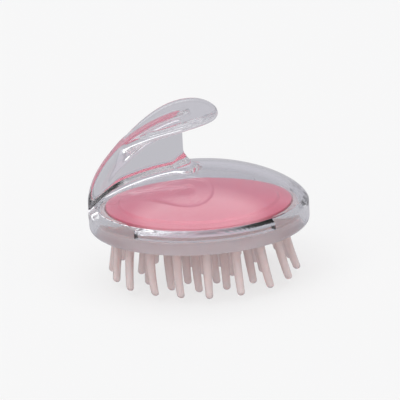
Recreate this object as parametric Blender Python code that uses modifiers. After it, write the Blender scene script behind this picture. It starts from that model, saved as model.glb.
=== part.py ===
"""Scalp massager brush: a clear domed shell with a hook handle, a coloured plate inside it, and a soft
pad with flaring tines underneath. The origin is on the floor under the middle of the brush, +Z is up and
the handle's free end points along +X."""

import math

import bpy
import bmesh
from mathutils import Matrix, Vector

MM = 0.001
CUT = 1.0 * MM  # how far a cutter runs past the surface it opens

# Clear body, turned about Z
BODY_R = 42.5 * MM
RIM_Z = 21.2 * MM  # underside of the rim
RIM_EDGE_R = 40.4 * MM  # where the flat underside ends and the rounding starts
WAIST_Z = (24.2 * MM, 29.0 * MM)  # the straight, widest stretch of the skirt
CROWN_Z = 44.3 * MM
CROWN_POWERS = (1.13, 1.33)  # shape of the dome: radius and height against the cosine and sine of one angle
DOME_STEPS = 18
RIM_STEPS = 5
TURN_STEPS = 60

# Hollow: a dome down to a curved shoulder, and a straight skirt with four recesses and four lugs for the pad
CAVITY_R = 39.1 * MM
CAVITY_Z = 42.4 * MM
CAVITY_STEPS = 16
SHOULDER_R = (38.3 * MM, 41.3 * MM)  # inner end of the shoulder's curve, and its outer end in a recess
SHOULDER_TOP_Z = 29.98 * MM
SHOULDER_SLOPES = (0.433, 0.07, 0.46)  # how the shoulder falls outwards: evenly, growing, and at its very end
SHOULDER_POWER = 5.5
SHOULDER_STEPS = 6
RECESSES = ((270, 39), (0, 30), (90, 39), (180, 30))  # middle and half of each recess, in degrees from +X
LUGS = ((40.5, 6.5), (139.5, 6.5), (220.5, 6.5), (319.5, 6.5))  # snap lugs between them: middle and half
LUG_R = 38.1 * MM
LUG_Z = (26.5 * MM, 27.6 * MM)  # the recesses end at the same height as the lugs
LUG_BEVEL = 0.35 * MM
WALL_PROBE = 0.01  # degrees either side of a section, to find what the wall has there
WELD = 0.0001 * MM

# Hook handle: a rib along a superellipse, widening into a paddle, with a web under it
HOOK_CENTRE = (3.0 * MM, 31.5 * MM)  # X and Z of the superellipse's centre
HOOK_REACH = (45.0 * MM, 35.6 * MM)
HOOK_POWER = 2 / 1.75
HOOK_TIP_X = 9.3 * MM
HOOK_ROOT = 4.0 * MM  # the handle runs this far down inside the skirt
HOOK_STEPS = 26
HALVINGS = 40
TANGENT_STEP = 0.002  # share of the quarter turn either side, to find the line's direction
TIP_STEPS = 7
PADDLE_HALF = 19.5 * MM
NECK_HALF = 3.5 * MM
PADDLE_X = (-34.5 * MM, -6.5 * MM)  # where the neck starts to widen, and where the paddle is widest
PADDLE_POWER = 2.2
PADDLE_THICK = 3.6 * MM
SECTION_STEPS = 20
SECTION_POWER = 0.72  # under 1 makes the section fuller than an ellipse
WEB_THICK = 4.6 * MM
WEB_FRONT_X = -4.9 * MM
WEB_STEPS = 20
WEB_START = 0.22  # where on the handle's line the web begins, as a share of the quarter turn
WEB_FOOT_STEPS = 6
WEB_FOOT_SINK = 0.2 * MM  # the foot runs this far into the dome
WEB_FLARE = (5.0 * MM, 6.5 * MM)  # length and height of the curve where the web's front meets the dome

# Coloured plate: (radius, height) of its upper surface from the middle outwards, in millimetres
PLATE_MIDDLE = ((0, 31.1), (20, 30.9), (29.0, 30.5), (30.2, 30.35), (30.7, 30.15))
PLATE_EDGE = ((31.5, 29.85), (32.4, 29.72), (35.5, 29.7), (35.9, 29.3))
PLATE_TOP = PLATE_MIDDLE + PLATE_EDGE
PLATE_FOOT_Z = 25.6 * MM
PLATE_FOOT_WIDTH = 2.0 * MM
PLATE_SOFFIT_Z = 28.7 * MM  # underside of the raised middle
PLATE_FLANGE_SOFFIT_Z = 27.8 * MM
PLATE_SOFFIT_R = (29.4 * MM, 31.0 * MM)  # the underside steps down between these
PLATE_RIBS = ((21.6, 23.4), (9.6, 11.4))  # inner and outer radius of the ring ribs underneath, in millimetres

# Soft pad
PAD_R = 38.7 * MM
PAD_FLOOR_Z = 25.3 * MM
PAD_LIP_Z = 28.7 * MM
PAD_LIP_R = 36.2 * MM  # inner radius of the lip that holds the plate
PAD_RIM_Z = 21.7 * MM  # underside of the pad at its edge
PAD_BELLY_Z = 20.3 * MM  # and in its middle
PAD_EDGE_BEVEL = (1.2 * MM, 0.3 * MM)  # width and height of the slope round the underside's edge
GROOVE_BEVEL = 0.3 * MM
PAD_GROOVE = (37.7 * MM, 25.6 * MM, 28.0 * MM)  # bottom radius, lower and upper edge of the groove
BELLY_STEPS = 8

# Tines, in rings: (tip radius, count)
TINE_RINGS = ((0.0, 1), (11.3 * MM, 6), (23.5 * MM, 12), (35.4 * MM, 18))
TINE_SPOKE = math.radians(-10)  # direction of the spoke that all rings share
TIP_RISE = 2.0 / 1000  # rise of a tip over the lowest one, in mm per square mm of its radius
TINE_FLARE = math.radians(11.5)  # lean of an outer tine
TINE_TIP_R = 1.45 * MM
TINE_ROOT_R = 1.9 * MM
TINE_ROOT_Z = 23.3 * MM  # tines are buried in the pad up to here
TINE_SIDES = 12
TINE_TIP_RINGS = 3


def clear_scene():
    for obj in list(bpy.data.objects):
        bpy.data.objects.remove(obj, do_unlink=True)


def new_collection(name, helper=False):
    collection = bpy.data.collections.new(name)
    bpy.context.scene.collection.children.link(collection)
    collection.hide_render = helper
    return collection


def new_material(name, colour, roughness, alpha=1.0, transmission=0.0):
    material = bpy.data.materials.new(name)
    material.use_nodes = True
    shader = material.node_tree.nodes["Principled BSDF"]
    shader.inputs["Base Color"].default_value = (*colour, 1.0)
    shader.inputs["Roughness"].default_value = roughness
    shader.inputs["Metallic"].default_value = 0.0
    shader.inputs["Alpha"].default_value = alpha
    shader.inputs["Transmission Weight"].default_value = transmission
    return material


def place_in(collection, obj):
    collection.objects.link(obj)
    if collection.hide_render:
        obj.hide_render = True
        obj.display_type = "WIRE"
    return obj


def object_from(bm, name, collection):
    bmesh.ops.recalc_face_normals(bm, faces=bm.faces)
    mesh = bpy.data.meshes.new(name)
    bm.to_mesh(mesh)
    bm.free()
    mesh.shade_smooth()
    mesh.set_sharp_from_angle(angle=math.radians(35))
    return place_in(collection, bpy.data.objects.new(name, mesh))


def turned(name, profile, collection):
    """A solid of revolution about Z. The profile runs down the outer side, from the axis to the axis."""
    mesh = bpy.data.meshes.new(name)
    mesh.from_pydata([(r, 0, z) for r, z in profile], [(i, i + 1) for i in range(len(profile) - 1)], [])
    obj = place_in(collection, bpy.data.objects.new(name, mesh))
    screw = obj.modifiers.new("Turn", "SCREW")
    screw.steps = TURN_STEPS
    screw.render_steps = TURN_STEPS
    screw.use_merge_vertices = True
    screw.merge_threshold = 0.00001
    screw.use_normal_calculate = False
    screw.use_smooth_shade = True
    return obj


def boolean(obj, other, operation):
    modifier = obj.modifiers.new(operation.title() + " " + other.name, "BOOLEAN")
    modifier.operation = operation
    modifier.object = other
    modifier.solver = "EXACT"


def dome(radius, top, steps):
    """The dome's (radius, height) points from its crown down to the skirt."""
    points = []
    for i in range(steps + 1):
        angle = math.radians(90) * (1 - i / steps)
        r = radius * math.cos(angle) ** CROWN_POWERS[0]
        z = WAIST_Z[1] + (top - WAIST_Z[1]) * math.sin(angle) ** CROWN_POWERS[1]
        points.append((0.0 if i == 0 else r, z))
    return points


def dome_height(radius, top, r):
    """Height of the dome at distance r from the axis."""
    cosine = min(1.0, abs(r) / radius) ** (1 / CROWN_POWERS[0])
    return WAIST_Z[1] + (top - WAIST_Z[1]) * math.sqrt(1 - cosine * cosine) ** CROWN_POWERS[1]


def body_profile():
    points = dome(BODY_R, CROWN_Z, DOME_STEPS)
    for i in range(RIM_STEPS + 1):
        angle = math.radians(90) * i / RIM_STEPS
        r = RIM_EDGE_R + (BODY_R - RIM_EDGE_R) * math.cos(angle)
        z = WAIST_Z[0] - (WAIST_Z[0] - RIM_Z) * math.sin(angle)
        points.append((r, z))
    return points + [(0, RIM_Z)]


def shoulder_z(r):
    """Height of the hollow's shoulder, which steepens outwards."""
    length = SHOULDER_R[1] - SHOULDER_R[0]
    u = max(0.0, (r - SHOULDER_R[0]) / length)
    even, growing, end = SHOULDER_SLOPES
    fall = even * u + growing * u * u / 2 + end * u**SHOULDER_POWER / SHOULDER_POWER
    return SHOULDER_TOP_Z - length * fall


def hollow_profile(kind):
    """The hollow's (radius, height) points from its crown down, where the skirt's wall is of this kind."""
    wall = SHOULDER_R[1] if kind == "recess" else CAVITY_R
    points = [p for p in dome(CAVITY_R, CAVITY_Z, CAVITY_STEPS) if p[1] > shoulder_z(p[0])]
    for i in range(SHOULDER_STEPS + 1):
        r = CAVITY_R + (wall - CAVITY_R) * i / SHOULDER_STEPS
        points.append((r, shoulder_z(r)))
    low, high = LUG_Z
    radii = [wall] * 5
    if kind == "lug":
        radii = [CAVITY_R, LUG_R + LUG_BEVEL, LUG_R, LUG_R, LUG_R + LUG_BEVEL]
    points += zip(radii, (high, high, high - LUG_BEVEL, low + LUG_BEVEL, low))
    return points + [(CAVITY_R, low), (CAVITY_R, RIM_Z - CUT), (0, RIM_Z - CUT)]


def wall_kind(angle):
    """What the skirt's wall has at this angle, in degrees."""
    for kind, places in (("recess", RECESSES), ("lug", LUGS)):
        for middle, half in places:
            if abs((angle - middle + 180) % 360 - 180) < half:
                return kind
    return "plain"


def hollow_rings():
    """(angle, kind) of each section of the hollow, with two sections where the wall changes."""
    ends = [middle + side * half for middle, half in RECESSES + LUGS for side in (-1, 1)]
    angles = sorted({360 * i / TURN_STEPS for i in range(TURN_STEPS)} | {end % 360 for end in ends})
    rings = []
    for angle in angles:
        kinds = [wall_kind(angle - WALL_PROBE), wall_kind(angle + WALL_PROBE)]
        rings += [(angle, kind) for kind in dict.fromkeys(kinds)]
    return rings


def cavity(collection):
    """Cutter for the hollow."""
    bm = bmesh.new()
    made = {}
    sections = []
    for angle, kind in hollow_rings():
        turn = math.radians(angle)
        section = []
        for r, z in hollow_profile(kind):
            point = (r * math.cos(turn), r * math.sin(turn), z)
            key = tuple(round(c / WELD) for c in point)
            if key not in made:
                made[key] = bm.verts.new(point)
            section.append(made[key])
        sections.append(section)
    for a, b in zip(sections, sections[1:] + sections[:1]):
        for i in range(len(a) - 1):
            corners = list(dict.fromkeys((a[i], a[i + 1], b[i + 1], b[i])))
            if len(corners) > 2:
                bm.faces.new(corners)
    return object_from(bm, "cavity", collection)


def add_prism(bm, lower, upper):
    """A closed band between two rings of the same number of points."""
    first = [bm.verts.new(p) for p in lower]
    second = [bm.verts.new(p) for p in upper]
    for i in range(len(first)):
        j = (i + 1) % len(first)
        bm.faces.new((first[i], first[j], second[j], second[i]))
    bm.faces.new(list(reversed(first)))
    bm.faces.new(second)


def hook_point(t):
    """The handle's upper line in the XZ plane: t from 0 at the rim to 1 at the top, and past 1 to the tip."""
    if t < 0:
        return Vector((HOOK_CENTRE[0] - HOOK_REACH[0], 0, HOOK_CENTRE[1] + t * HOOK_REACH[1]))
    angle = math.radians(90) * t
    x = HOOK_CENTRE[0] - math.copysign(abs(math.cos(angle)) ** HOOK_POWER, math.cos(angle)) * HOOK_REACH[0]
    z = HOOK_CENTRE[1] + math.sin(angle) ** HOOK_POWER * HOOK_REACH[1]
    return Vector((x, 0, z))


def hook_angle_at(x):
    """The t at which the upper line passes x, by halving."""
    low, high = 0.0, 1.5
    for _ in range(HALVINGS):
        middle = (low + high) / 2
        if hook_point(middle).x < x:
            low = middle
        else:
            high = middle
    return low


def paddle_half(x):
    """Half-width of the handle at x: a narrow neck, then a paddle with a rounded end."""
    if x > PADDLE_X[1]:
        s = min(1.0, (x - PADDLE_X[1]) / (HOOK_TIP_X - PADDLE_X[1]))
        return PADDLE_HALF * math.sqrt(max(0.0, 1 - s**PADDLE_POWER))
    s = max(0.0, (x - PADDLE_X[0]) / (PADDLE_X[1] - PADDLE_X[0]))
    return NECK_HALF + (PADDLE_HALF - NECK_HALF) * (3 * s * s - 2 * s**3)


def hook_frame(t):
    """Middle of the handle's section at t, and the direction across its thickness."""
    along = (hook_point(t + TANGENT_STEP) - hook_point(t - TANGENT_STEP)).normalized()
    up = Vector((-along.z, 0, along.x))
    return hook_point(t) - up * PADDLE_THICK / 2, up


def paddle(collection):
    """The handle's rib and paddle: a loft of rounded sections along the upper line."""
    bm = bmesh.new()
    widest = hook_angle_at(PADDLE_X[1])
    end = hook_angle_at(HOOK_TIP_X)
    stations = [-HOOK_ROOT / HOOK_REACH[1]] + [widest * i / HOOK_STEPS for i in range(HOOK_STEPS)]
    for i in range(TIP_STEPS):
        stations.append(widest + (end - widest) * math.sin(math.radians(90) * i / TIP_STEPS))
    rings = []
    for t in stations:
        middle, up = hook_frame(t)
        half = paddle_half(hook_point(t).x)
        thick = PADDLE_THICK / 2 * min(1.0, (half / NECK_HALF) ** 0.5)
        ring = []
        for i in range(SECTION_STEPS):
            angle = math.radians(360) * i / SECTION_STEPS
            across = math.copysign(abs(math.cos(angle)) ** SECTION_POWER, math.cos(angle)) * half
            height = math.copysign(abs(math.sin(angle)) ** SECTION_POWER, math.sin(angle)) * thick
            ring.append(bm.verts.new(middle + up * height + Vector((0, across, 0))))
        rings.append(ring)
    for a, b in zip(rings, rings[1:]):
        for i in range(SECTION_STEPS):
            j = (i + 1) % SECTION_STEPS
            bm.faces.new((a[i], a[j], b[j], b[i]))
    tip = bm.verts.new(hook_frame(end)[0])
    for i in range(SECTION_STEPS):
        bm.faces.new((rings[-1][i], rings[-1][(i + 1) % SECTION_STEPS], tip))
    bm.faces.new(rings[0])
    return object_from(bm, "paddle", collection)


def web(collection):
    """The upright web between the dome and the handle, with a curved foot at its front."""
    bm = bmesh.new()
    shell_middle = (CROWN_Z + CAVITY_Z) / 2
    start = hook_frame(WEB_START)[0]
    lower, upper = [], []
    for i in range(WEB_STEPS + 1):
        x = start.x + (WEB_FRONT_X - start.x) * i / WEB_STEPS
        middle, _ = hook_frame(hook_angle_at(x))
        upper.append((x, middle.z))
        radius = (BODY_R + CAVITY_R) / 2
        lower.append((x, dome_height(radius, shell_middle, x)))
    foot = []
    for i in range(1, WEB_FOOT_STEPS + 1):
        angle = math.radians(90) * i / WEB_FOOT_STEPS
        x = WEB_FRONT_X + WEB_FLARE[0] * (1 - math.cos(angle))
        foot.append((x, CROWN_Z + WEB_FLARE[1] * (1 - math.sin(angle)) - WEB_FOOT_SINK))
    foot.append((foot[-1][0], shell_middle))
    outline = lower + list(reversed(foot)) + list(reversed(upper))
    half = WEB_THICK / 2
    add_prism(bm, [(x, -half, z) for x, z in outline], [(x, half, z) for x, z in outline])
    return object_from(bm, "web", collection)


def clear_shell(collection, helpers):
    shell = turned("clear_shell", body_profile(), collection)
    boolean(shell, paddle(helpers), "UNION")
    boolean(shell, web(helpers), "UNION")
    boolean(shell, cavity(helpers), "DIFFERENCE")
    return shell


def colour_plate(collection):
    """The plate seen through the dome: a raised middle, a flange, and ring ribs that press on the pad."""
    profile = [(r * MM, z * MM) for r, z in PLATE_TOP]
    foot_in = PLATE_TOP[-1][0] * MM - PLATE_FOOT_WIDTH
    profile += [(PLATE_TOP[-1][0] * MM, PLATE_FOOT_Z), (foot_in, PLATE_FOOT_Z)]
    profile += [(foot_in, PLATE_FLANGE_SOFFIT_Z), (PLATE_SOFFIT_R[1], PLATE_FLANGE_SOFFIT_Z)]
    profile.append((PLATE_SOFFIT_R[0], PLATE_SOFFIT_Z))
    for inner, outer in PLATE_RIBS:
        profile += [(outer * MM, PLATE_SOFFIT_Z), (outer * MM, PLATE_FOOT_Z)]
        profile += [(inner * MM, PLATE_FOOT_Z), (inner * MM, PLATE_SOFFIT_Z)]
    profile.append((0, PLATE_SOFFIT_Z))
    return turned("colour_plate", profile, collection)


def pad_profile():
    groove_r, groove_low, groove_high = PAD_GROOVE
    points = [(0, PAD_FLOOR_Z), (PAD_LIP_R, PAD_FLOOR_Z), (PAD_LIP_R, PAD_LIP_Z), (PAD_R, PAD_LIP_Z)]
    points += [(PAD_R, groove_high), (groove_r, groove_high - GROOVE_BEVEL)]
    points += [(groove_r, groove_low + GROOVE_BEVEL), (PAD_R, groove_low), (PAD_R, PAD_RIM_Z)]
    for i in range(BELLY_STEPS + 1):
        s = 1 - i / BELLY_STEPS
        r = (PAD_R - PAD_EDGE_BEVEL[0]) * s
        points.append((r, PAD_BELLY_Z + (PAD_RIM_Z - PAD_EDGE_BEVEL[1] - PAD_BELLY_Z) * s * s))
    return points


def add_tine(bm, radius, angle):
    """One tine: a tapered rod with a rounded tip, leaning outwards."""
    outwards = Vector((math.cos(angle), math.sin(angle), 0))
    lean = TINE_FLARE * radius / TINE_RINGS[-1][0]
    tip = outwards * radius + Vector((0, 0, TIP_RISE / MM * radius * radius))
    up = Vector((0, 0, math.cos(lean))) - outwards * math.sin(lean)
    length = (TINE_ROOT_Z - tip.z) / up.z
    turn = Vector((0, 0, 1)).rotation_difference(up).to_matrix().to_4x4()
    place = Matrix.Translation(tip) @ turn
    rings = []
    for i in range(1, TINE_TIP_RINGS + 1):
        a = math.radians(90) * i / TINE_TIP_RINGS
        rings.append((TINE_TIP_R * math.sin(a), TINE_TIP_R * (1 - math.cos(a))))
    rings.append((TINE_ROOT_R, length))
    low = bm.verts.new(place @ Vector((0, 0, 0)))
    loops = []
    for r, z in rings:
        loop = []
        for i in range(TINE_SIDES):
            a = math.radians(360) * i / TINE_SIDES
            loop.append(bm.verts.new(place @ Vector((r * math.cos(a), r * math.sin(a), z))))
        loops.append(loop)
    for i in range(TINE_SIDES):
        bm.faces.new((loops[0][(i + 1) % TINE_SIDES], loops[0][i], low))
    for a, b in zip(loops, loops[1:]):
        for i in range(TINE_SIDES):
            j = (i + 1) % TINE_SIDES
            bm.faces.new((a[i], a[j], b[j], b[i]))
    bm.faces.new(loops[-1])


def tines(collection):
    bm = bmesh.new()
    for radius, count in TINE_RINGS:
        for i in range(count):
            add_tine(bm, radius, TINE_SPOKE + math.radians(360) * i / count)
    return object_from(bm, "tines", collection)


def bristle_pad(collection, helpers):
    pad = turned("bristle_pad", pad_profile(), collection)
    boolean(pad, tines(helpers), "UNION")
    return pad


def main():
    clear_scene()
    collection = new_collection("scalp_massager_brush")
    helpers = new_collection("cutters", helper=True)
    clear = new_material("clear_plastic", (0.95, 0.95, 0.96), 0.03, transmission=1.0)
    pink = new_material("pink_plastic", (0.75, 0.33, 0.40), 0.35)
    soft = new_material("soft_pad", (0.62, 0.50, 0.49), 0.45, transmission=0.3)
    clear_shell(collection, helpers).data.materials.append(clear)
    colour_plate(collection).data.materials.append(pink)
    bristle_pad(collection, helpers).data.materials.append(soft)


main()
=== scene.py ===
"""Scalp massager brush: the finished shapes and materials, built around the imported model."""

import functools
import math
import random

import bmesh
import bpy
import numpy as np
from mathutils import Matrix, Vector


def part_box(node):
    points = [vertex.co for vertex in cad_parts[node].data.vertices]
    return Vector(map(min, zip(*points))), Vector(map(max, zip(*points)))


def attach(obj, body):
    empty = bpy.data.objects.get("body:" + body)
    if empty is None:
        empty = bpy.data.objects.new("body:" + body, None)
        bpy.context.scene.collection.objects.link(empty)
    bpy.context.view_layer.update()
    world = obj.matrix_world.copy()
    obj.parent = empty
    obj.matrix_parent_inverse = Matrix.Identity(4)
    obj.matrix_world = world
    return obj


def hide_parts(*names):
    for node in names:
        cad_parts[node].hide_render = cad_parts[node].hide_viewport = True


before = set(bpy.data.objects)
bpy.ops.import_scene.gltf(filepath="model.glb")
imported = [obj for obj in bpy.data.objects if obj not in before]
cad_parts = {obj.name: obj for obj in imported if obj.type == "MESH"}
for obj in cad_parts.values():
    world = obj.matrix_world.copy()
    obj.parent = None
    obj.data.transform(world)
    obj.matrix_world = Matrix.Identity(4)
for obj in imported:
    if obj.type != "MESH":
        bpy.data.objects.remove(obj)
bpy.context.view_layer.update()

MM = 0.001  # the shapes below are worked out in millimetres and stored in metres

# ---------------------------------------------------------------- driving sizes, from the frame

shell_low, shell_high = (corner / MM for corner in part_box("clear_shell"))
plate_low, plate_high = (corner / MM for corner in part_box("colour_plate"))
pad_low, pad_high = (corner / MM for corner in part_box("bristle_pad"))

BODY_R = (shell_high.y - shell_low.y) / 2
RIM_Z = shell_low.z
HOOK_TOP_Z = shell_high.z
PLATE_R = (plate_high.y - plate_low.y) / 2
PAD_R = (pad_high.y - pad_low.y) / 2
PAD_LIP_Z = pad_high.z

# Clear body
RIM_ROUND = 1.9
RIM_LEAD_IN = (0.5, 0.9)  # the bevel at the foot of the hollow's wall, in radius and height
SHOULDER_Z = RIM_Z + 7.8  # where the dome leaves the straight skirt
CROWN_Z = RIM_Z + 23.1
DOME_R_POWER = 2 / 1.13
DOME_Z_POWER = 2 / 1.33
CAVITY_R = BODY_R - 3.4
CAVITY_Z = CROWN_Z - 1.9
SHOULDER_R = (BODY_R - 4.2, BODY_R - 1.2)  # the hollow's curved shoulder, inner and outer radius
SHOULDER_TOP_Z = RIM_Z + 8.78
SHOULDER_SLOPES = (0.433, 0.07, 0.46)  # the even slope, the part that grows outwards, and the steep end
SHOULDER_END_POWER = 5.5
RECESS_LOW_Z = RIM_Z + 5.3
RECESSES = ((270, 39), (0, 16.5), (90, 39), (180, 16.5))  # middle and half of each recess, in degrees
HOLLOW_STEP = 0.75  # degrees between the hollow's sections; each recess ends on one

# Colour plate
PLATE_TOP_Z = 31.1
PLATE_FLANGE_Z = 29.4
PLATE_CROWN = ((20.0, 0.2), (30.2, 0.7))  # radius, and how far below the middle
PLATE_STEP_R = 31.2
PLATE_THICK = 1.8
PLATE_WALL = 2.0  # of the outer wall, which comes down to the pad
PLATE_HOLLOW = ((29.6, 28.4), 2.0)  # radii of the slope under the raised middle, and the depth of its ceiling

# Soft pad
PAD_FLOOR_Z = 25.3
PAD_LIP_GAP = 0.3
PAD_GROOVE_R = 37.7
PAD_GROOVE_Z = ((25.9, 25.6), (27.6, 27.9))  # lower and upper edge, at the groove's foot and its mouth
PAD_EDGE_Z = 21.7
PAD_UNDER = (37.5, 20.3, 1.1)  # the underside's radius, its middle's height, and its rise to the edge

# Hook handle
HOOK_CENTRE = (3.0, 31.5)
HOOK_REACH = (45.0, HOOK_TOP_Z - 31.5)
HOOK_POWER = 1.75
HOOK_TIP_X = 9.3
PADDLE_X = (-34.5, -6.5)  # where the neck starts to widen, and where the paddle is widest
PADDLE_HALF = 19.5
PADDLE_END_POWER = 2.2
NECK_HALF = 3.5
PADDLE_THICK = 3.6
WEB_THICK = 4.6
WEB_FRONT_X = -4.9
WEB_EDGE_ROUND = 1.6
WEB_FOOT_Z = SHOULDER_Z  # below this the web would come out of the body's wall
ROOT_FOOT_Z = RIM_Z + 4.8  # the neck ends inside the skirt's wall
FILLET_BODY = 3.2  # fillet radii between handle and body, and between web and paddle
FILLET_FRONT = 8.0
FRONT_X = (WEB_FRONT_X - 4.0, WEB_FRONT_X + 1.0)  # it grows on to FILLET_FRONT over this length
FILLET_PADDLE = 4.0
FILLET_ROOT = 0.6
ROOT_X = (-42.0, -35.0)  # the body's fillet grows from FILLET_ROOT to FILLET_BODY over this length
GRID_MARGIN = 2.4
CELL = 0.6  # mesh size of the clear body

# Edges that turn by more than this stay sharp, in degrees
PLAIN_SHARP = 35
BODY_SHARP = 32
PAD_SHARP = 40

TURN_STEPS = 200  # round the axis of a turned piece

# Tines
TINE_RINGS = ((0.0, 1), (11.3, 6), (23.5, 12), (35.4, 18))
TINE_SPOKE = math.radians(-10)
TIP_RISE = 0.002  # the tips stand on a shallow bowl: height per square millimetre of radius
TIP_DROP = 0.2
TINE_FLARE = math.radians(11.5)
TINE_ROOT_Z = 23.4
TINE_R = (1.48, 1.88)  # at the tip and at the foot
TIP_ROUND = TINE_R[0] * 0.92  # height of the rounded tip
FOOT_LENGTH = 3.2
FOOT_FLARE = 1.5
TINE_SIDES = 28
TINE_DRIFT = 0.5  # every tip leans this far towards the handle's free end
TINE_BENDS = {  # how far the soft tips of (ring, number) stand off their circle, in x and y
    (3, 9): (-0.4, -1.2), (3, 10): (0.9, -2.2), (3, 11): (1.5, -2.2), (3, 12): (2.8, -0.8),
    (3, 13): (1.5, 0.8), (3, 15): (-0.3, -1.0), (3, 16): (0.8, -0.8), (3, 17): (0.8, -1.4),
    (3, 0): (1.2, -1.3), (2, 6): (-0.9, -0.6), (2, 7): (0.3, -2.0), (2, 8): (1.7, -0.8),
    (2, 9): (0.9, 0.0), (2, 10): (-0.7, -0.4), (2, 11): (0.0, -2.0), (2, 1): (-0.6, 0.2),
    (1, 4): (0.6, -1.4), (1, 5): (0.5, -1.2), (1, 0): (0.0, -2.0),
}


# ---------------------------------------------------------------- clear body as a smooth field


def hook_line():
    """Points of the handle's upper line in XZ, from inside the skirt to past the tip."""
    root_x = HOOK_CENTRE[0] - HOOK_REACH[0]
    points = [(root_x, z) for z in np.arange(HOOK_CENTRE[1] - 6.0, HOOK_CENTRE[1], 0.25)]
    for angle in np.radians(np.arange(0.0, 125.0, 0.35)):
        c, s = math.cos(angle), math.sin(angle)
        x = HOOK_CENTRE[0] - math.copysign(abs(c) ** (2 / HOOK_POWER), c) * HOOK_REACH[0]
        points.append((x, HOOK_CENTRE[1] + s ** (2 / HOOK_POWER) * HOOK_REACH[1]))
    return np.array(points)


class HookTable:
    """How far along the handle's line a point in XZ lies, and how far above it, looked up in a grid."""

    STEP = 0.25
    LOW = (-46.0, 18.0)
    SIZE = (248, 212)

    def __init__(self):
        line = hook_line()
        ends = line[1:] - line[:-1]
        lengths = np.hypot(*ends.T)
        along = np.concatenate([[0.0], np.cumsum(lengths)])
        unit = ends / lengths[:, None]
        xs = self.LOW[0] + self.STEP * np.arange(self.SIZE[0])
        zs = self.LOW[1] + self.STEP * np.arange(self.SIZE[1])
        self.along = np.empty(self.SIZE)
        self.above = np.empty(self.SIZE)
        for i, x in enumerate(xs):
            spot = np.stack([np.full(len(zs), x), zs], 1)
            rel = spot[:, None, :] - line[None, :-1, :]
            reach = np.clip((rel * unit).sum(2), 0, lengths)
            away = rel - reach[..., None] * unit
            nearest = (away**2).sum(2).argmin(1)
            rows = np.arange(len(zs))
            near = away[rows, nearest]
            side = near[:, 1] * unit[nearest, 0] - near[:, 0] * unit[nearest, 1]
            self.along[i] = along[nearest] + reach[rows, nearest]
            self.above[i] = np.hypot(*near.T) * np.sign(side)
        stations = (PADDLE_X[0], PADDLE_X[1], HOOK_TIP_X)
        self.neck_s, self.widest_s, self.tip_s = (float(np.interp(x, line[:, 0], along)) for x in stations)

    def look_up(self, x, z):
        u = np.clip((x - self.LOW[0]) / self.STEP, 0, self.SIZE[0] - 1.001)
        v = np.clip((z - self.LOW[1]) / self.STEP, 0, self.SIZE[1] - 1.001)
        i, j = u.astype(int), v.astype(int)
        fu, fv = u - i, v - j
        found = []
        for grid in (self.along, self.above):
            low = grid[i, j] * (1 - fv) + grid[i, j + 1] * fv
            high = grid[i + 1, j] * (1 - fv) + grid[i + 1, j + 1] * fv
            found.append(low * (1 - fu) + high * fu)
        return found


def blend_min(a, b, radius):
    """Union of two distances with a round fillet."""
    inside = np.hypot(np.maximum(radius - a, 0), np.maximum(radius - b, 0))
    return np.maximum(radius, np.minimum(a, b)) - inside


def blend_max(a, b, radius):
    """Intersection of two distances with a rounded edge."""
    return -blend_min(-a, -b, radius)


def body_field(x, y, z):
    """Roughly the distance to the body without its handle or its hollow."""
    r = np.hypot(x, y)
    rise = np.maximum(z - SHOULDER_Z, 0)
    height = CROWN_Z - SHOULDER_Z
    ratio_r, ratio_z = r / BODY_R, rise / height
    value = ratio_r**DOME_R_POWER + ratio_z**DOME_Z_POWER - 1
    slope_r = DOME_R_POWER / BODY_R * ratio_r ** (DOME_R_POWER - 1)
    slope_z = DOME_Z_POWER / height * ratio_z ** (DOME_Z_POWER - 1)
    domed = value / np.maximum(np.hypot(slope_r, slope_z), 0.02)
    return blend_max(domed, RIM_Z - z, RIM_ROUND)


def paddle_field(hook, x, y, z):
    """Roughly the distance to the handle's neck and paddle, which have fully rounded edges."""
    s, above = hook.look_up(x, z)
    half_thick = PADDLE_THICK / 2
    across = above + half_thick
    t = np.clip((s - hook.neck_s) / (hook.widest_s - hook.neck_s), 0, 1)
    half = NECK_HALF + (PADDLE_HALF - NECK_HALF) * (3 * t * t - 2 * t**3)
    slope = (PADDLE_HALF - NECK_HALF) * 6 * t * (1 - t) / (hook.widest_s - hook.neck_s)
    side = (np.abs(y) - half) / np.hypot(1, slope)
    length = hook.tip_s - hook.widest_s
    u = np.maximum(s - hook.widest_s, 0) / length
    v = np.abs(y) / PADDLE_HALF
    power = PADDLE_END_POWER
    ratio = np.sqrt(v * v + u**power) + 1e-6
    gradient = np.hypot(2 * v / PADDLE_HALF, power * u ** (power - 1) / length) / (2 * ratio)
    rounded = (ratio - 1) / np.maximum(gradient, 0.02)
    plan = np.where(s > hook.widest_s, rounded, side)
    outside = np.maximum(plan + half_thick, 0)
    return np.maximum(np.hypot(outside, across) - half_thick, ROOT_FOOT_Z - z)


def web_field(hook, x, y, z):
    """Roughly the distance to the upright web under the handle."""
    above = hook.look_up(x, z)[1]
    upright = blend_max(np.abs(y) - WEB_THICK / 2, x - WEB_FRONT_X, WEB_EDGE_ROUND)
    return np.maximum(np.maximum(upright, above + PADDLE_THICK / 2), WEB_FOOT_Z - z)


def share_of(x, start, end):
    """0 before start, 1 after end, even between them."""
    return np.clip((x - start) / (end - start), 0, 1)


def clear_field(hook, x, y, z):
    """Roughly the distance to the whole clear body, still solid."""
    handle = blend_min(paddle_field(hook, x, y, z), web_field(hook, x, y, z), FILLET_PADDLE)
    # At the root the handle and the skirt run side by side, where a full fillet would swell outwards.
    radius = FILLET_ROOT + (FILLET_BODY - FILLET_ROOT) * share_of(x, *ROOT_X)
    radius = radius + (FILLET_FRONT - FILLET_BODY) * share_of(x, *FRONT_X)
    return blend_min(body_field(x, y, z), handle, radius)


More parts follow.
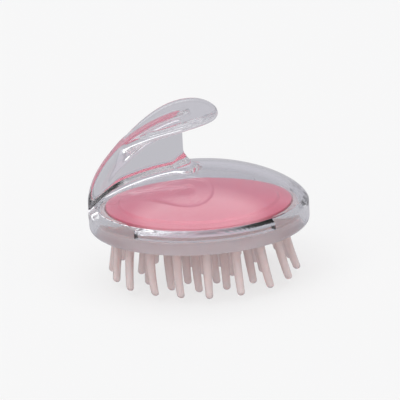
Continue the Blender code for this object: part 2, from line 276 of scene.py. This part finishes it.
def net_mesh(field, low, high, cell):
    """Points and quads of the surface where field is zero, one point to each grid cell that it crosses."""
    counts = [int(math.ceil((b - a) / cell)) + 1 for a, b in zip(low, high)]
    axes = [a + cell * np.arange(n) for a, n in zip(low, counts)]
    values = np.empty(counts, np.float32)
    gy, gz = np.meshgrid(axes[1], axes[2], indexing="ij")
    for i, x in enumerate(axes[0]):
        values[i] = field(np.full(gy.shape, x), gy, gz)
    inside = values < 0
    cells = [n - 1 for n in counts]
    total = np.zeros((*cells, 3))
    hits = np.zeros(cells)
    base = np.stack(np.meshgrid(*[a[:-1] for a in axes], indexing="ij"), -1)
    for axis in range(3):
        others = [k for k in range(3) if k != axis]
        for da in (0, 1):
            for db in (0, 1):
                start = [slice(None)] * 3
                start[axis] = slice(0, cells[axis])
                start[others[0]] = slice(da, da + cells[others[0]])
                start[others[1]] = slice(db, db + cells[others[1]])
                stop = list(start)
                stop[axis] = slice(1, cells[axis] + 1)
                a, b = values[tuple(start)], values[tuple(stop)]
                crossed = (a < 0) != (b < 0)
                share = np.where(crossed, a / np.where(crossed, a - b, 1), 0)
                point = base.copy()
                point[..., axis] += share * cell
                point[..., others[0]] += da * cell
                point[..., others[1]] += db * cell
                total[crossed] += point[crossed]
                hits[crossed] += 1
    used = hits > 0
    number = np.full(cells, -1)
    number[used] = np.arange(used.sum())
    points = total[used] / hits[used][:, None]
    quads = []
    for axis in range(3):
        b, c = [(1, 2), (2, 0), (0, 1)][axis]
        start = [slice(1, cells[k]) for k in range(3)]
        start[axis] = slice(0, cells[axis])
        stop = list(start)
        stop[axis] = slice(1, cells[axis] + 1)
        first, second = inside[tuple(start)], inside[tuple(stop)]
        for flip in (False, True):
            where = np.argwhere((first & ~second) if not flip else (~first & second))
            where[:, b] += 1
            where[:, c] += 1
            corners = []
            for db, dc in ((0, 0), (1, 0), (1, 1), (0, 1)):
                spot = where.copy()
                spot[:, b] -= 1 - db
                spot[:, c] -= 1 - dc
                corners.append(number[tuple(spot.T)])
            if flip:
                corners.reverse()
            quads.append(np.stack(corners, 1))
    return points, np.concatenate(quads)


def settle(field, points, rounds=3, step=0.05):
    """Moves each point onto the surface, along the field's slope."""
    for _ in range(rounds):
        value = field(*points.T)
        slope = np.empty_like(points)
        for k in range(3):
            offset = np.zeros(3)
            offset[k] = step
            slope[:, k] = (field(*(points + offset).T) - field(*(points - offset).T)) / (2 * step)
        points = points - slope * (value / np.maximum((slope**2).sum(1), 0.05))[:, None]
    return points


# ---------------------------------------------------------------- plain mesh helpers


def smooth_shade(mesh, sharp_angle):
    """Smooth shading, apart from the edges that turn by more than this angle."""
    mesh.shade_smooth()
    mesh.set_sharp_from_angle(angle=math.radians(sharp_angle))


def mesh_object(name, points, faces):
    """An object from points in millimetres."""
    mesh = bpy.data.meshes.new(name)
    mesh.from_pydata((np.asarray(points, float) * MM).tolist(), [], [list(map(int, f)) for f in faces])
    bm = bmesh.new()
    bm.from_mesh(mesh)
    bmesh.ops.remove_doubles(bm, verts=bm.verts, dist=1e-7)
    bmesh.ops.recalc_face_normals(bm, faces=bm.faces)
    bm.to_mesh(mesh)
    bm.free()
    smooth_shade(mesh, PLAIN_SHARP)
    obj = bpy.data.objects.new(name, mesh)
    bpy.context.scene.collection.objects.link(obj)
    return obj


def turned(name, profile):
    """A closed solid from a profile of (radius, height) that starts and ends on the axis, turned about Z."""
    points, faces = [], []
    rings = []
    for r, z in profile:
        if r < 1e-6:
            rings.append([len(points)])
            points.append((0, 0, z))
            continue
        ring = []
        for i in range(TURN_STEPS):
            angle = 2 * math.pi * i / TURN_STEPS
            ring.append(len(points))
            points.append((r * math.cos(angle), r * math.sin(angle), z))
        rings.append(ring)
    for a, b in zip(rings, rings[1:]):
        for i in range(TURN_STEPS):
            j = (i + 1) % TURN_STEPS
            if len(a) == 1:
                faces.append((a[0], b[i], b[j]))
            elif len(b) == 1:
                faces.append((a[i], b[0], a[j]))
            else:
                faces.append((a[i], b[i], b[j], a[j]))
    return mesh_object(name, points, faces)


def apply_boolean(obj, other, operation):
    """Cuts or joins, then removes the other object."""
    modifier = obj.modifiers.new("join", "BOOLEAN")
    modifier.operation = operation
    modifier.object = other
    modifier.solver = "MANIFOLD"
    bpy.context.view_layer.update()
    graph = bpy.context.evaluated_depsgraph_get()
    mesh = bpy.data.meshes.new_from_object(obj.evaluated_get(graph))
    obj.modifiers.clear()
    old = obj.data
    obj.data = mesh
    bpy.data.meshes.remove(old)
    bpy.data.objects.remove(other)


def rounded(points, radii, steps):
    """A profile with each inner corner rounded by its own radius."""
    out = [points[0]]
    for k in range(1, len(points) - 1):
        before, here, after = (Vector((*p, 0)) for p in points[k - 1 : k + 2])
        a, b = (before - here), (after - here)
        cut = min(radii[k], a.length * 0.45, b.length * 0.45)
        if cut < 1e-4 or a.angle(b) > math.radians(178):
            out.append(points[k])
            continue
        start, end = here + a.normalized() * cut, here + b.normalized() * cut
        for i in range(steps + 1):
            t = i / steps
            p = start * (1 - t) ** 2 + here * 2 * t * (1 - t) + end * t * t
            out.append((p.x, p.y))
    out.append(points[-1])
    return out


# ---------------------------------------------------------------- pieces


def hollow_dome(steps=64):
    """The hollow's ceiling in section, from the axis outwards."""
    points = []
    for i in range(steps + 1):
        angle = math.radians(90) * (1 - i / steps)
        r = CAVITY_R * math.cos(angle) ** (2 / DOME_R_POWER) if i else 0.0
        rise = (CAVITY_Z - SHOULDER_Z) * math.sin(angle) ** (2 / DOME_Z_POWER)
        points.append((r, SHOULDER_Z + rise))
    return points


def shoulder_z(r):
    """Height of the hollow's shoulder. It steepens outwards."""
    length = SHOULDER_R[1] - SHOULDER_R[0]
    u = (r - SHOULDER_R[0]) / length
    even, growing, end = SHOULDER_SLOPES
    steep = end * max(u, 0) ** SHOULDER_END_POWER / SHOULDER_END_POWER
    return SHOULDER_TOP_Z - length * (even * u + growing * u * u / 2 + steep)


def hollow_profile(outer):
    """The hollow's section from the axis to below the rim, with its wall set back to the radius outer."""
    dome = [p for p in hollow_dome() if p[1] > shoulder_z(p[0])]
    shoulder = [(r, shoulder_z(r)) for r in np.linspace(dome[-1][0], CAVITY_R, 5)[1:]]
    shoulder += [(r, shoulder_z(r)) for r in np.linspace(CAVITY_R, outer, 15)[1:]]
    # The bevel ends just under the rim, and the cutter goes on below it, so that no two faces coincide.
    mouth_r, below = CAVITY_R + RIM_LEAD_IN[0], RIM_Z - 2.0
    wall = [(outer, RECESS_LOW_Z), (CAVITY_R, RECESS_LOW_Z), (CAVITY_R, RIM_Z + RIM_LEAD_IN[1])]
    return dome + shoulder + wall + [(mouth_r, RIM_Z - 0.05), (mouth_r, below), (0, below)]


def cavity_cutter():
    """The hollow: a dome, a shoulder over the pad's lip, and a straight skirt with four recesses."""
    plain, deep = hollow_profile(CAVITY_R), hollow_profile(SHOULDER_R[1])
    ends = {(middle + side * half) % 360 for middle, half in RECESSES for side in (-1, 1)}
    points = []
    for k in range(round(360 / HOLLOW_STEP)):
        angle = HOLLOW_STEP * k
        inside = any(abs((angle - middle + 180) % 360 - 180) < half for middle, half in RECESSES)
        profiles = [deep if inside else plain]
        if angle in ends:
            opens = any(angle == (middle - half) % 360 for middle, half in RECESSES)
            profiles = [plain, deep] if opens else [deep, plain]
        c, s = math.cos(math.radians(angle)), math.sin(math.radians(angle))
        for profile in profiles:
            points += [(r * c, r * s, z) for r, z in profile]
    n, total = len(plain), len(points)
    faces = []
    for a in range(0, total, n):
        b = (a + n) % total
        faces += [(a + k, a + k + 1, b + k + 1, b + k) for k in range(n - 1)]
    return mesh_object("cavity", points, faces)


def make_clear_body():
    """Dome, skirt and handle as one moulding, with the hollow cut out of it."""
    field = functools.partial(clear_field, HookTable())
    low = [c - GRID_MARGIN for c in shell_low]
    high = [c + GRID_MARGIN for c in shell_high]
    points, quads = net_mesh(field, low, high, CELL)
    points = settle(field, points)
    body = mesh_object("clear_body", points, quads)
    apply_boolean(body, cavity_cutter(), "DIFFERENCE")
    smooth_shade(body.data, BODY_SHARP)
    return body


def make_colour_plate():
    """Raised middle, step and flange, turned, with a wall under the flange that comes down to the pad."""
    top, flange, under = PLATE_TOP_Z, PLATE_FLANGE_Z, PLATE_FLANGE_Z - PLATE_THICK
    slope, depth = PLATE_HOLLOW
    corners = [(0, top)] + [(r, top - drop) for r, drop in PLATE_CROWN]
    corners += [(PLATE_STEP_R, flange + 0.05), (PLATE_R, flange), (PLATE_R, plate_low.z)]
    corners += [(PLATE_R - PLATE_WALL, plate_low.z), (PLATE_R - PLATE_WALL, under)]
    corners += [(slope[0], under), (slope[1], top - depth), (0, top - depth)]
    radii = [0, 0, 0.5, 0.6, 0.4, 0.3, 0.3, 0.3, 0.5, 0.5, 0]
    return turned("pink_plate", rounded(corners, radii, 6))


def tine_points(ring, number, radius, angle):
    """Rings of one tine, bottom first: tip, shaft, and a flared foot that runs into the pad."""
    rng = random.Random(100 * ring + number)
    outwards = np.array([math.cos(angle), math.sin(angle), 0])
    lean = TINE_FLARE * radius / TINE_RINGS[-1][0]
    tip = outwards * radius + np.array([0, 0, max(TIP_RISE * radius * radius - TIP_DROP, 0.0)])
    up = np.array([0, 0, math.cos(lean)]) - outwards * math.sin(lean)
    side = np.cross(up, outwards)
    other = np.cross(side, up)
    length = (TINE_ROOT_Z - tip[2]) / up[2]
    loose = (rng.uniform(-0.4, 0.4), rng.uniform(-0.4, 0.4))
    bend = np.array([*TINE_BENDS.get((ring, number), loose), 0]) + np.array([TINE_DRIFT, 0, 0])
    tip_r, root_r = TINE_R
    foot = length - FOOT_LENGTH
    rings = []
    for i in range(1, 8):
        a = math.radians(90) * i / 7
        rings.append((tip_r * math.sin(a) ** 0.85, TIP_ROUND * (1 - math.cos(a))))
    for i in range(1, 10):
        t = i / 9
        rings.append((tip_r + (root_r - tip_r) * t, TIP_ROUND + (foot - TIP_ROUND) * t))
    for i in range(1, 6):
        a = math.radians(90) * i / 5
        rings.append((root_r + FOOT_FLARE * (1 - math.cos(a)), foot + FOOT_FLARE * math.sin(a)))
    rings.append((root_r + FOOT_FLARE, length))
    sides = TINE_SIDES
    points = [tip + bend]
    for r, z in rings:
        shift = bend * (1 - z / length) ** 2
        for k in range(sides):
            a = 2 * math.pi * k / sides
            points.append(tip + shift + up * z + (side * math.cos(a) + other * math.sin(a)) * r)
    faces = [(0, 1 + (k + 1) % sides, 1 + k) for k in range(sides)]
    for j in range(len(rings) - 1):
        a, b = 1 + j * sides, 1 + (j + 1) * sides
        faces += [(a + k, a + (k + 1) % sides, b + (k + 1) % sides, b + k) for k in range(sides)]
    last = 1 + (len(rings) - 1) * sides
    faces.append(tuple(range(last, last + sides)))
    return points, faces


def make_soft_pad():
    """The turned pad, with a lip round the plate and a groove outside, joined with its tines."""
    lip_in = PLATE_R + PAD_LIP_GAP
    (groove_low, mouth_low), (groove_high, mouth_high) = PAD_GROOVE_Z
    under_r, under_z, under_rise = PAD_UNDER
    corners = [(0, PAD_FLOOR_Z), (lip_in, PAD_FLOOR_Z), (lip_in, PAD_LIP_Z), (PAD_R - 0.1, PAD_LIP_Z - 0.1)]
    corners += [(PAD_R, mouth_high), (PAD_GROOVE_R, groove_high), (PAD_GROOVE_R, groove_low)]
    corners += [(PAD_R, mouth_low), (PAD_R, PAD_EDGE_Z), (under_r, under_z + under_rise)]
    radii = [0, 0.4, 0.5, 0.5, 0.2, 0.25, 0.25, 0.2, 0.9, 0]
    profile = rounded(corners, radii, 4)
    for i in range(1, 13):
        s = 1 - i / 12
        profile.append((under_r * s, under_z + under_rise * s * s))
    pad = turned("soft_pad", profile)
    points, faces = [], []
    for ring, (radius, count) in enumerate(TINE_RINGS):
        for i in range(count):
            angle = TINE_SPOKE + 2 * math.pi * i / count
            p, f = tine_points(ring, i, radius, angle)
            faces += [tuple(v + len(points) for v in face) for face in f]
            points += p
    tines = mesh_object("tines", points, faces)
    apply_boolean(pad, tines, "UNION")
    smooth_shade(pad.data, PAD_SHARP)
    return pad


# ---------------------------------------------------------------- materials


class Nodes:
    """A short way to write a material's node tree."""

    def __init__(self, name):
        self.material = bpy.data.materials.new(name)
        self.material.use_nodes = True
        self.tree = self.material.node_tree
        self.tree.nodes.clear()
        self.output = self.tree.nodes.new("ShaderNodeOutputMaterial")

    def add(self, kind, inputs=None, **settings):
        node = self.tree.nodes.new("ShaderNode" + kind)
        for key, value in settings.items():
            setattr(node, key, value)
        for key, value in (inputs or {}).items():
            if isinstance(value, bpy.types.NodeSocket):
                self.tree.links.new(value, node.inputs[key])
            else:
                node.inputs[key].default_value = value
        return node

    def ramp(self, source, stops):
        node = self.add("ValToRGB", {"Fac": source})
        elements = node.color_ramp.elements
        while len(elements) < len(stops):
            elements.new(0.5)
        for element, (place, colour) in zip(elements, stops):
            element.position = place
            element.color = (*colour, 1)
        return node.outputs["Color"]

    def finish(self, shader):
        self.tree.links.new(shader, self.output.inputs["Surface"])
        return self.material


def clear_plastic():
    """Polished clear plastic with a faint flow texture. Diffuse and shadow rays pass straight through it."""
    n = Nodes("clear_plastic")
    place = n.add("TexCoord").outputs["Object"]
    haze = n.add("TexNoise", {"Vector": place, "Scale": 90.0, "Detail": 3.0}).outputs["Fac"]
    rough = n.add("MapRange", {"Value": haze, "To Min": 0.0, "To Max": 0.035}).outputs["Result"]
    swell = n.add("TexNoise", {"Vector": place, "Scale": 60.0, "Detail": 1.0}).outputs["Fac"]
    bump = n.add("Bump", {"Height": swell, "Strength": 0.04, "Distance": 0.0004}).outputs["Normal"]
    tint = (0.93, 0.93, 0.95, 1)
    glass = n.add(
        "BsdfPrincipled",
        {
            "Base Color": tint,
            "Roughness": rough,
            "IOR": 1.49,
            "Transmission Weight": 1.0,
            "Normal": bump,
        },
    )
    through = n.add("BsdfTransparent", {"Color": tint})
    shader = glass.outputs["BSDF"]
    path = n.add("LightPath")
    for ray in ("Is Diffuse Ray", "Is Shadow Ray"):
        mix = n.add("MixShader", {"Fac": path.outputs[ray]})
        n.tree.links.new(shader, mix.inputs[1])
        n.tree.links.new(through.outputs["BSDF"], mix.inputs[2])
        shader = mix.outputs["Shader"]
    return n.finish(shader)


def pink_plastic():
    """Satin pink plastic with slightly uneven flow and a fine grain."""
    n = Nodes("pink_plastic")
    place = n.add("TexCoord").outputs["Object"]
    swirl = {"Vector": place, "Scale": 35.0, "Detail": 4.0, "Distortion": 1.2}
    flow = n.add("TexNoise", swirl).outputs["Fac"]
    colour = n.ramp(flow, [(0.3, (0.66, 0.165, 0.225)), (0.7, (0.70, 0.185, 0.245))])
    grain = n.add("TexNoise", {"Vector": place, "Scale": 1400.0, "Detail": 2.0}).outputs["Fac"]
    rough = n.add("MapRange", {"Value": flow, "To Min": 0.34, "To Max": 0.44}).outputs["Result"]
    bump = n.add("Bump", {"Height": grain, "Strength": 0.15, "Distance": 0.0002}).outputs["Normal"]
    shader = n.add(
        "BsdfPrincipled",
        {
            "Base Color": colour,
            "Roughness": rough,
            "Normal": bump,
            "Subsurface Weight": 0.15,
            "Subsurface Radius": (0.6, 0.2, 0.2),
            "Subsurface Scale": 0.002,
        },
    )
    return n.finish(shader.outputs["BSDF"])


def soft_rubber():
    """Translucent, slightly cloudy rubber."""
    n = Nodes("soft_rubber")
    place = n.add("TexCoord").outputs["Object"]
    cloud = n.add("TexNoise", {"Vector": place, "Scale": 160.0, "Detail": 3.0}).outputs["Fac"]
    colour = n.ramp(cloud, [(0.3, (0.93, 0.765, 0.74)), (0.7, (0.96, 0.80, 0.775))])
    grain = n.add("TexNoise", {"Vector": place, "Scale": 2200.0, "Detail": 2.0}).outputs["Fac"]
    bump = n.add("Bump", {"Height": grain, "Strength": 0.2, "Distance": 0.0001}).outputs["Normal"]
    rough = n.add("MapRange", {"Value": cloud, "To Min": 0.16, "To Max": 0.26}).outputs["Result"]
    shader = n.add(
        "BsdfPrincipled",
        {
            "Base Color": colour,
            "Roughness": rough,
            "IOR": 1.42,
            "Normal": bump,
            "Transmission Weight": 0.5,
            "Subsurface Weight": 0.5,
            "Subsurface Radius": (1.0, 0.75, 0.7),
            "Subsurface Scale": 0.004,
        },
    )
    return n.finish(shader.outputs["BSDF"])


# ---------------------------------------------------------------- studio

ORBIT_CENTRE = Vector((0, 0, 33.0)) * MM
CAMERA_DISTANCE = 0.8
CAMERA_ELEVATION = math.radians(16.5)
CAMERA_AZIMUTH = math.radians(-3.3)
OBJECT_LEAN = math.radians(2.93)
PIXELS_PER_MM = 2.602
FRAME_PIXELS = 400
SENSOR = 36.0
AIM_OFFSET = (0.73, -2.575)  # millimetres right and up in the view, from the orbit centre
FLOOR_HALF = 6.0  # metres
LIGHT_BOUNCES = 24

SIDE_LIGHT = (0.09, 0.09, 0.10)
OVERHEAD_LIGHT = (1.75, 1.75, 1.75)
SOFT_BOXES = (  # light, azimuth from the front, elevation, half sizes and soft edges, in degrees
    ((0.36, 0.36, 0.39), 180, 15, (45, 30), (25, 10)),
    ((0.14, 0.13, 0.14), 180, 10, (26, 6), (8, 4)),
    ((0.95, 0.95, 0.95), 0, 15, (60, 30), (40, 20)),
)


def make_camera():
    """The photograph's view: a long lens, rolled so that the brush leans as it does there."""
    data = bpy.data.cameras.new("camera")
    camera = bpy.data.objects.new("camera", data)
    bpy.context.scene.collection.objects.link(camera)
    data.sensor_width = SENSOR
    data.lens = PIXELS_PER_MM * CAMERA_DISTANCE / MM * SENSOR / FRAME_PIXELS
    data.clip_end = 20
    back = Vector(
        (
            math.sin(CAMERA_AZIMUTH) * math.cos(CAMERA_ELEVATION),
            -math.cos(CAMERA_AZIMUTH) * math.cos(CAMERA_ELEVATION),
            math.sin(CAMERA_ELEVATION),
        )
    )
    turn = (-back).to_track_quat("-Z", "Y").to_matrix() @ Matrix.Rotation(-OBJECT_LEAN, 3, "Z")
    offset = turn @ Vector((AIM_OFFSET[0], AIM_OFFSET[1], 0)) * MM
    camera.matrix_world = Matrix.Translation(ORBIT_CENTRE + back * CAMERA_DISTANCE + offset) @ turn.to_4x4()
    bpy.context.scene.camera = camera


class WorldNodes(Nodes):
    """The same short way, for the world's tree."""

    def __init__(self, name):
        world = bpy.data.worlds.new(name)
        bpy.context.scene.world = world
        world.use_nodes = True
        self.tree = world.node_tree
        self.tree.nodes.clear()
        self.output = self.tree.nodes.new("ShaderNodeOutputWorld")
        towards = self.add("TexCoord").outputs["Generated"]
        parts = self.add("SeparateXYZ", {"Vector": towards}).outputs
        back = self.math("MULTIPLY", parts["Y"], -1.0)
        self.azimuth = self.math("ARCTAN2", parts["X"], back)
        self.elevation = self.math("ARCSINE", parts["Z"])

    def math(self, operation, *values):
        node = self.tree.nodes.new("ShaderNodeMath")
        node.operation = operation
        for socket, value in zip(node.inputs, values):
            if isinstance(value, bpy.types.NodeSocket):
                self.tree.links.new(value, socket)
            else:
                socket.default_value = value
        return node.outputs[0]

    def window(self, value, middle, half, soft):
        """1 within half of the middle, falling to 0 over soft. Angles in degrees."""
        away = self.math("ABSOLUTE", self.math("SUBTRACT", value, math.radians(middle)))
        inputs = {"Value": away, "From Min": math.radians(half + soft), "From Max": math.radians(half)}
        return self.add("MapRange", inputs, interpolation_type="SMOOTHSTEP").outputs["Result"]

    def box(self, azimuth, elevation, halves, soft):
        across = self.window(self.azimuth, azimuth, halves[0], soft[0])
        return self.math("MULTIPLY", across, self.window(self.elevation, elevation, halves[1], soft[1]))

    def lit(self, light, colour, amount):
        """Adds one patch of light, of this colour, to the light so far."""
        patch = self.add("VectorMath", {0: colour, "Scale": amount}, operation="SCALE").outputs[0]
        if light is None:
            return patch
        return self.add("VectorMath", {0: light, 1: patch}, operation="ADD").outputs[0]


def make_world():
    """A studio: soft boxes above and in front, a grey backdrop, and dark space at the sides."""
    n = WorldNodes("studio")
    light = n.lit(None, SIDE_LIGHT, 1.0)
    light = n.lit(light, OVERHEAD_LIGHT, n.window(n.elevation, 90, 30, 18))
    for colour, azimuth, elevation, halves, soft in SOFT_BOXES:
        # Azimuth runs from -180 to 180, so a box behind the brush is made of two.
        for middle in sorted({azimuth, -azimuth}):
            light = n.lit(light, colour, n.box(middle, elevation, halves, soft))
    background = n.add("Background", {"Color": light})
    n.tree.links.new(background.outputs[0], n.output.inputs["Surface"])


def sun(name, azimuth, elevation, spread, strength):
    """A large soft lamp far away, so that the floor is lit evenly. Azimuth 0 is in front."""
    data = bpy.data.lights.new(name, "SUN")
    data.angle = math.radians(spread)
    data.energy = strength
    light = bpy.data.objects.new(name, data)
    az, el = math.radians(azimuth), math.radians(elevation)
    towards = Vector((math.sin(az) * math.cos(el), -math.cos(az) * math.cos(el), math.sin(el)))
    light.visible_glossy = False
    light.visible_transmission = False
    light.matrix_world = (-towards).to_track_quat("-Z", "Y").to_matrix().to_4x4()
    bpy.context.scene.collection.objects.link(light)


def make_floor():
    """A pale floor: an even tone for the camera, and a softer grey for rays that come by way of the brush."""
    mesh = bpy.data.meshes.new("floor")
    corners = [(x * FLOOR_HALF, y * FLOOR_HALF, 0) for x, y in ((-1, -1), (1, -1), (1, 1), (-1, 1))]
    mesh.from_pydata(corners, [], [(0, 1, 2, 3)])
    floor = bpy.data.objects.new("floor", mesh)
    bpy.context.scene.collection.objects.link(floor)
    n = Nodes("pale_floor")
    matt = n.add("BsdfDiffuse", {"Color": (0.18, 0.18, 0.18, 1)})
    glow = n.add("Emission", {"Color": (0.705, 0.705, 0.705, 1), "Strength": 1.0})
    both = n.add("AddShader")
    n.tree.links.new(matt.outputs[0], both.inputs[0])
    n.tree.links.new(glow.outputs[0], both.inputs[1])
    grey = n.add("Emission", {"Color": (0.55, 0.545, 0.575, 1), "Strength": 1.0})
    mix = n.add("MixShader", {"Fac": n.add("LightPath").outputs["Is Camera Ray"]})
    n.tree.links.new(grey.outputs[0], mix.inputs[1])
    n.tree.links.new(both.outputs[0], mix.inputs[2])
    mesh.materials.append(n.finish(mix.outputs[0]))


def make_studio():
    """World, camera, floor, lamp and the settings that the clear body needs."""
    make_world()
    make_camera()
    make_floor()
    sun("key", -50, 50, 30, 0.5)
    scene = bpy.context.scene
    scene.view_settings.view_transform = "Standard"
    # Light runs far inside clear plastic, so the paths are let go further than usual.
    scene.cycles.max_bounces = LIGHT_BOUNCES
    scene.cycles.glossy_bounces = LIGHT_BOUNCES
    scene.cycles.transmission_bounces = LIGHT_BOUNCES


# ---------------------------------------------------------------- assembly


def place(piece, node, slot, material):
    """Gives a piece its material and sets it in the frame in place of its node."""
    piece.data.materials.clear()
    piece.data.materials.append(material)
    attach(piece, "root")
    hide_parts(node)


place(make_clear_body(), "clear_shell", "clear_plastic", clear_plastic())
place(make_colour_plate(), "colour_plate", "pink_plastic", pink_plastic())
place(make_soft_pad(), "bristle_pad", "soft_pad", soft_rubber())
make_studio()
